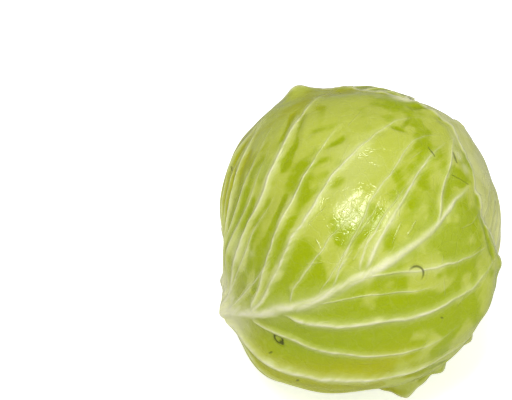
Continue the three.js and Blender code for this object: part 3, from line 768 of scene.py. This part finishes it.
def leafTissue():
    # cream ribs over a yellow-green blade that is deepest in its hollows and creases, as painted shade, and
    # paler on its raised parts, as painted light, side veins that leave the ribs at a slant, a net of
    # veinlets, streaks along the ribs, paler tissue near the stalk, and scars
    sockets = ("Rib", "Vein", "Nick", "Halo", "Tone", "Hollow", "Nearest", "Passed", "From", "Pale", "Scar",
               "ScarHeight", "Edge", "Creaseshade", "Ripe")
    outputs = {"Colour": "Color", "Roughness": "Float", "Height": "Float"}
    group, given, out, do, times = newGroup("leafTissue", sockets, outputs, colours=leafLooks["wrapper"])
    place = node(group, "ShaderNodeTexCoord").outputs["Object"]
    sway = noise(group, place, *tissueLook["netSwayCloud"], "Color")
    moved = vectors(group, "ADD", place, scaled(group, sway, tissueLook["netSway"]))

    def net(scale, thick, share):
        inputs = {"Vector": moved, "Scale": scale}
        cells = node(group, "ShaderNodeTexVoronoi", inputs, feature="DISTANCE_TO_EDGE")
        return ranged(group, cells.outputs["Distance"], 0.0, thick, share, 0.0, "SMOOTHSTEP")

    clouds = {key: noise(group, place, *size) for key, size in tissueLook["clouds"].items()}
    cloud, patchy = clouds["cloud"], clouds["mottle"]
    fan = node(group, "ShaderNodeCombineXYZ", {0: times(given["Passed"], 4.0),
                                               1: times(given["From"], 0.05)}).outputs[0]
    streak = do("SUBTRACT", noise(group, fan, 1.0, 4), 0.5)
    byFrom, byNearest, byPassed, byMottle = tissueLook["veinSlant"]
    slant = do("MULTIPLY_ADD", given["Nearest"], byNearest, times(given["From"], byFrom))
    slant = do("ADD", slant, do("MULTIPLY_ADD", patchy, byMottle, times(given["Passed"], byPassed)))
    sideVein = fading(group, do("PINGPONG", slant, tissueLook["veinSpacing"]), 0.0, 0.6)
    byRib = fading(group, given["Nearest"], 1.5, 9.0)
    patterns = {
        **clouds, **{key: do("SUBTRACT", clouds[key], 0.5) for key in ("cloud", "mottle", "speckle")},
        # hollows deepen the colour as painted shade, and ridges pale it as painted light
        "streak": streak, "hollow": do("MAXIMUM", given["Hollow"], 0.0),
        "ridge": do("MAXIMUM", times(given["Hollow"], -1.0), 0.0),
        "creaseshade": times(given["Creaseshade"], cloud),
        "veinlets": do("MAXIMUM", *(net(*values) for values in tissueLook["nets"])),
        "sideVein": times(sideVein, times(byRib, cloud)),
        "rib": given["Rib"], "vein": given["Vein"], "nick": given["Nick"],
    }

    def adding(total, amounts):
        # total + each pattern × its amount
        for key, amount in tissueLook[amounts].items():
            total = do("MULTIPLY_ADD", patterns[key], amount, total)
        return total

    deep = adding(do("MULTIPLY_ADD", given["Tone"], 0.8, 0.46), "deepens")
    deep = ranged(group, deep, 0.15, 0.85, steps="SMOOTHSTEP")
    blade = mixed(group, deep, given["Blade"], mixed(group, given["Ripe"], given["Deep"], given["Yellow"]))
    # painted shade: creases darkened a little towards brown
    blade = mixed(group, times(given["Creaseshade"], 0.12), blade, given["BrownAndShade"])
    blade = mixed(group, times(given["Pale"], 0.85), blade, given["Blanched"])
    veil = adding(times(given["Halo"], do("MULTIPLY_ADD", streak, 1.2, 0.78)), "veils")
    veil = clamped(group, times(veil, do("MULTIPLY_ADD", deep, -0.4, 1.0)))
    colour = mixed(group, veil, blade, given["Blanched"])
    colour = mixed(group, times(do("POWER", given["Pale"], 2.0), 0.55), colour, given["Cream"])
    ribShare = clamped(group, times(given["Rib"], do("MULTIPLY_ADD", streak, 1.8, 0.62)))
    colour = mixed(group, ribShare, colour, given["Cream"])
    colour = mixed(group, times(given["Edge"], 0.6), colour, given["Cream"])
    # brown for scars and nicks; a crease's arc and some nicks are painted shade and shadow
    marked = do("MAXIMUM", given["Scar"], times(given["Nick"], 0.6))
    group.links.new(mixed(group, times(marked, 0.9), colour, given["BrownAndShade"]), out["Colour"])

    rough = ranged(group, patchy, 0.3, 0.7, *tissueLook["roughness"])
    ribbed = clamped(group, do("ADD", given["Rib"], given["Halo"]))
    group.links.new(do("MULTIPLY_ADD", ribbed, tissueLook["ribRoughness"], rough), out["Roughness"])
    group.links.new(adding(given["ScarHeight"], "raises"), out["Height"])
    return group


leafSkin = {"ior": 1.47, "bump": 0.8, "relief": 0.001, "lightThrough": 0.12, "radius": (1.0, 1.0, 0.35),
            "depth": 0.002}

ribGroup, midribGroup, scarGroup = ribLine(), midribLine(), scarSpot()
lineGroup, tissue = shortLine(), leafTissue()

# scars of the front leaf: degrees from the stalk and round from the midrib, radius in millimetres, and kind;
# a hole is a whole ring, a bite a spot, and a crease the part of a ring that lies towards one side, as
# painted shade along the fold
scars = [(40.2, 23, 3.0, "hole"), (41.2, 25.6, 1.7, "bite"), (100.5, 11, 4.8, "crease")]
creaseShadeSide = (0.74, 0.30, 0.60)
scarThick = {"hole": 0.42, "bite": 0.2, "crease": 0.2}  # as a share of the radius
veinWidens = 1.5  # side veins are drawn this much wider than given


def joined(tree, outputs, operation="MAXIMUM"):
    # the highest of the outputs, or their sum with ADD
    return reduce(partial(maths, tree, operation), outputs)


def newMaterial(name):
    # a material, its node tree and its shader
    material = bpy.data.materials.new(name)
    material.use_nodes = True
    return material, material.node_tree, material.node_tree.nodes["Principled BSDF"]


def dress(tree, skin, colour, roughness, height, look):
    # colour, roughness, a bump and a little light through the skin
    inputs = {"Height": height, "Strength": look["bump"], "Distance": look["relief"]}
    bump = node(tree, "ShaderNodeBump", inputs)
    fill(tree, skin, {"Base Color": colour, "Roughness": roughness, "Normal": bump.outputs[0],
                      "Subsurface Weight": look["lightThrough"], "Subsurface Scale": look["depth"]})


def masked(tree, *names):
    # the masks that the mesh carries under these names
    return [node(tree, "ShaderNodeAttribute", attribute_name=name).outputs["Fac"] for name in names]


def ribInputs(tree, leaf):
    # the leaf's masks from its surface, and its midrib and side ribs as crisp lines
    fromStalk, roundStalk, lane, across = masked(tree, "fromStalk", "roundStalk", "lane", "acrossMidrib")
    ridges = [placed(tree, ribGroup, From=fromStalk, Round=roundStalk, Lane=lane, Start=start, Stop=stop,
                     Turn=turn, Bend=bend, Width=width, Curl=curl)["Ridge"]
              for start, stop, turn, bend, width, curl in leaf["ribs"]]
    end = leaf["middle"] + leaf["tip"]
    ridges.append(placed(tree, midribGroup, From=fromStalk, Across=across, End=end)["Ridge"])
    keys = ("Halo", "Tone", "Hollow", "Nearest", "Passed", "Pale", "Edge", "Creaseshade", "Ripe")
    masks = dict(zip(keys, masked(tree, *(key.lower() for key in keys))))
    return {"Rib": joined(tree, ridges), "From": fromStalk, **masks}


def markInputs(tree, leaf):
    # the front leaf's scars, side veins and dark lines, some of which are painted shade and shadow, laid on a
    # ball round the heart's middle
    place = node(tree, "ShaderNodeTexCoord").outputs["Object"]
    place = vectors(tree, "NORMALIZE", vectors(tree, "SUBTRACT", place, (0, 0, centreHeight / 1000)))
    place = scaled(tree, place, ribRadius / 1000)

    def onSkin(fromStalk, around):
        return directionAt(fromStalk, leaf["around"] + around) * ribRadius / 1000

    spots = [placed(tree, scarGroup, Place=place, Centre=onSkin(fromStalk, around).tolist(), Side=creaseShadeSide,
                    Radius=radius / 1000, Whole=float(kind != "crease"), Speck=float(kind == "bite"),
                    Thick=scarThick[kind], Strength=0.8 if kind == "crease" else 1.0)
             for fromStalk, around, radius, kind in scars]
    marks = {"Scar": joined(tree, [spot["BrownAndShade"] for spot in spots]),
             "ScarHeight": joined(tree, [spot["Height"] for spot in spots], "ADD")}
    for key, lines, widen in (("Vein", frontVeins, veinWidens), ("Nick", frontNicksAndShadow, 1)):
        ends = [(onSkin(*line[:2]), onSkin(*line[2:4]), line[4]) for line in lines]
        marks[key] = joined(tree, [placed(tree, lineGroup, Place=place, First=first.tolist(),
                                          Way=(last - first).tolist(), Width=width * widen / 1000)["Mask"]
                                   for first, last, width in ends])
    return marks


def leafMaterial(name, look, leaf=None):
    # leaf tissue in the look's colours, with the leaf's own ribs and marks where there is a leaf
    material, tree, skin = newMaterial(name)
    inputs = {key: (*colour, 1) for key, colour in leafLooks[look].items()}
    if leaf:
        inputs.update(ribInputs(tree, leaf))
    if leaf is frontLeaf:
        inputs.update(markInputs(tree, leaf))
    made = placed(tree, tissue, **inputs)
    dress(tree, skin, made["Colour"], made["Roughness"], made["Height"], leafSkin)
    fill(tree, skin, {"IOR": leafSkin["ior"], "Subsurface Radius": leafSkin["radius"]})
    return material


for index, leaf in enumerate(leaves):
    mesh = leafMesh(leaf["name"].replace("_leaf", "_blade"), *leafForm(index))
    piece = linked(mesh.name, mesh)
    kind = "crown" if "crown" in leaf["name"] else "wrapper"
    mesh.materials.append(leafMaterial(leaf["name"] + "_skin", kind, leaf))
    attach(piece, "root")
    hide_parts(leaf["name"])
    print(leaf["name"], len(mesh.polygons), "faces,", len(leaf["ribs"]), "side ribs")

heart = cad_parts["heart"]
heart.data.materials.clear()
heart.data.materials.append(leafMaterial("packed_heart", "heart"))
print("heart coloured")

# the cut stalk, in millimetres from the heart's middle along its axis
stalk = {"inside": 58, "shoulder": 75, "end": 85, "radius": 12.8, "flare": 13.4, "bevel": 1.5, "sides": 160,
         "hollow": 0.8, "ring": 0.10, "knifeMark": 0.12,
         "fibres": [(0.10, 23, 0), (0.12, 9, 1), (0.06, 41, 0)]}
stalkLook = {"flesh": (0.72, 0.74, 0.46, 1), "cloudy": (0.56, 0.62, 0.28, 1), "ring": (0.42, 0.52, 0.16, 1),
             "dried": (0.36, 0.24, 0.09, 1), "ringAt": 0.78, "ringWidth": 0.10, "roughness": (0.5, 0.75),
             "bump": 0.6, "relief": 0.0006, "lightThrough": 0.1, "depth": 0.003}


def stalkForm():
    # a turned profile: radius over distance, with fibres height × cos(n·turn + start) on the side, rings
    # cos(24·face) on the cut face and a wave where the knife went
    s = stalk
    side = np.linspace(s["inside"], s["end"] - s["bevel"], 40)
    sideRadius = s["radius"] + (s["flare"] - s["radius"]) * smooth(side, s["inside"], s["shoulder"])
    corner = np.linspace(0, math.pi / 2, 9)[1:]
    cornerRadius = s["flare"] - s["bevel"] * (1 - np.cos(corner))
    cornerAt = s["end"] - s["bevel"] * (1 - np.sin(corner))
    face = np.linspace(1, 0, 42)[1:-1]
    faceRadius = face * (s["flare"] - s["bevel"])
    faceAt = s["end"] - s["hollow"] * (1 - face**2) + s["ring"] * np.cos(face * 24) * (1 - face)
    radius = np.concatenate([sideRadius, cornerRadius, faceRadius])
    at = np.concatenate([side, cornerAt, faceAt])
    onFace = np.concatenate([np.zeros(len(side) + len(corner)), np.ones(len(face))])
    turn = np.linspace(0, 2 * math.pi, s["sides"], endpoint=False)
    radius, turn = np.meshgrid(radius, turn, indexing="ij")
    at, onFace = at[:, None] + 0 * turn, onFace[:, None] + 0 * turn
    fibres = sum(height * np.cos(count * turn + start) for height, count, start in s["fibres"])
    radius = radius + fibres * (1 - onFace)
    at = at + s["knifeMark"] * np.sin(7 * turn + radius) * onFace * (radius / s["flare"])
    across, up = radius * np.cos(turn), radius * np.sin(turn)
    points = unit((axis, at), (frontward, across), (upward, up)) + np.array([0, 0, centreHeight])
    return points, onFace, radius / s["flare"]


def stalkMesh():
    # rings of the profile joined round, and a fan to a point at each end
    points, onFace, out = stalkForm()
    rings, sides = points.shape[:2]
    number = np.arange(rings * sides).reshape(rings, sides)
    after = np.roll(number, -1, axis=1)
    quads = np.stack([number[:-1], number[1:], after[1:], after[:-1]], -1).reshape(-1, 4)
    first, last = rings * sides, rings * sides + 1
    caps = [np.stack([number[0], after[0], np.full(sides, first)], -1),
            np.stack([number[-1], np.full(sides, last), after[-1]], -1)]
    ends = np.array([points[0].mean(0), points[-1].mean(0)])
    mesh = newMesh("cut_stalk", np.concatenate([points.reshape(-1, 3), ends]),
                   quads.tolist() + np.concatenate(caps).tolist())
    for key, values, tail in (("cut", onFace, [0, 1]), ("out", out, [0, 0])):
        addMask(mesh, key, np.append(values.ravel(), tail))
    return mesh


def stalkMaterial():
    # cream flesh, a greener ring under the skin, and brown where the knife's cut has dried
    material, tree, skin = newMaterial("stalkFlesh")
    do, times = partial(maths, tree), partial(maths, tree, "MULTIPLY")
    place = node(tree, "ShaderNodeTexCoord").outputs["Object"]
    cut, out = masked(tree, "cut", "out")
    cloud = noise(tree, place, 260, 5)
    ring = fading(tree, do("ABSOLUTE", do("SUBTRACT", out, stalkLook["ringAt"])), 0.0, stalkLook["ringWidth"])
    dried = ranged(tree, cloud, 0.52, 0.70)
    flesh = mixed(tree, times(cloud, 0.5), stalkLook["flesh"], stalkLook["cloudy"])
    flesh = mixed(tree, times(times(ring, cut), 0.6), flesh, stalkLook["ring"])
    flesh = mixed(tree, times(times(dried, cut), 0.55), flesh, stalkLook["dried"])
    rough = ranged(tree, cloud, 0.3, 0.7, *stalkLook["roughness"])
    dress(tree, skin, flesh, rough, cloud, stalkLook)
    return material


cutStalk = linked("cut_stalk", stalkMesh())
cutStalk.data.materials.append(stalkMaterial())
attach(cutStalk, "root")
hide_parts("stalk")
print("stalk made")

# the pale ground and sky, both dimmer where they are mirrored, the view's gamma, and two soft lights, in
# metres and watts
studio = {"ground": 3.0, "groundColour": (0.95, 0.95, 0.95, 1), "groundRoughness": 0.7, "groundGlow": 0.2,
          "groundSeen": 0.4, "groundInGloss": 0.5, "sky": 0.44, "skyInGloss": 0.28, "gamma": 0.86}
keyLight = {"from": (-0.23, -0.36, 0.90), "long": (0.65, 0.39, 0.65), "distance": 1.1, "width": 0.21,
            "length": 0.54, "power": 8.5}
fillLight = {"from": (0.85, -0.55, 0.4), "long": (0, 0, 1), "distance": 1.6, "width": 1.2, "length": 1.2,
             "power": 4.5}


def ground():
    # a level square that glows a little, more where it is looked at
    half = studio["ground"]
    mesh = bpy.data.meshes.new("ground")
    corners = [(-half, -half, 0), (half, -half, 0), (half, half, 0), (-half, half, 0)]
    mesh.from_pydata(corners, [], [(0, 1, 2, 3)])
    material, tree, skin = newMaterial("paleGround")
    do, times = partial(maths, tree), partial(maths, tree, "MULTIPLY")
    rays = node(tree, "ShaderNodeLightPath").outputs
    mirrored = times(rays["Is Glossy Ray"], 1 - studio["groundInGloss"])
    glow = do("MULTIPLY_ADD", rays["Is Camera Ray"], studio["groundSeen"], studio["groundGlow"])
    fill(tree, skin, {"Base Color": mixed(tree, mirrored, studio["groundColour"], (0, 0, 0, 1)),
                      "Emission Color": (1, 1, 1, 1), "Roughness": studio["groundRoughness"],
                      "Emission Strength": times(glow, do("SUBTRACT", 1.0, mirrored))})
    mesh.materials.append(material)
    piece = linked("ground", mesh)


def softbox(name, lamp):
    # a lit rectangle that faces the middle from along `from`, with its length turned along `long`
    light = bpy.data.lights.new(name, "AREA")
    light.shape, light.energy = "RECTANGLE", lamp["power"]
    light.size, light.size_y = lamp["width"], lamp["length"]
    placedLight = linked(name, light)
    away = Vector(lamp["from"]).normalized()
    across = Vector(lamp["long"]).cross(away).normalized()
    placedLight.location = away * lamp["distance"] + Vector(viewFrom["middle"])
    placedLight.rotation_euler = Matrix((across, away.cross(across), away)).transposed().to_euler()


def sky():
    # white where it is looked at, dimmer as light, and dimmer still where it is mirrored
    world = bpy.data.worlds.new("paleSky")
    bpy.context.scene.world = world
    world.use_nodes = True
    tree = world.node_tree
    rays = node(tree, "ShaderNodeLightPath").outputs
    do = partial(maths, tree, "MULTIPLY_ADD")
    strength = do(rays["Is Camera Ray"], 1 - studio["sky"], studio["sky"])
    strength = do(rays["Is Glossy Ray"], studio["skyInGloss"] - studio["sky"], strength)
    fill(tree, tree.nodes["Background"], {"Color": (1, 1, 1, 1), "Strength": strength})


def camera():
    # back along the line of sight from the middle, then turned so that the head sits right of centre
    a, e = math.radians(viewFrom["around"]), math.radians(viewFrom["above"])
    back = Vector((math.sin(a) * math.cos(e), -math.cos(a) * math.cos(e), math.sin(e)))
    right = Vector((math.cos(a), math.sin(a), 0))
    up = back.cross(right)
    middle = Vector(viewFrom["middle"])
    eye = linked("camera", bpy.data.cameras.new("camera"))
    eye.data.lens = viewFrom["lens"]
    eye.data.sensor_width = 36
    eye.location = middle + back * viewFrom["distance"]
    aim = middle - right * viewFrom["aimLeft"] + up * viewFrom["aimUp"]
    roll = Quaternion((0, 0, 1), math.radians(viewFrom["roll"]))
    eye.rotation_euler = ((eye.location - aim).to_track_quat("Z", "Y") @ roll).to_euler()
    bpy.context.scene.camera = eye


ground()
softbox("overheadSoftbox", keyLight)
softbox("frontFill", fillLight)
sky()
camera()
scene = bpy.context.scene
scene.view_settings.view_transform = "Standard"
scene.view_settings.look = "None"
scene.view_settings.gamma = studio["gamma"]
print("camera and lights set")
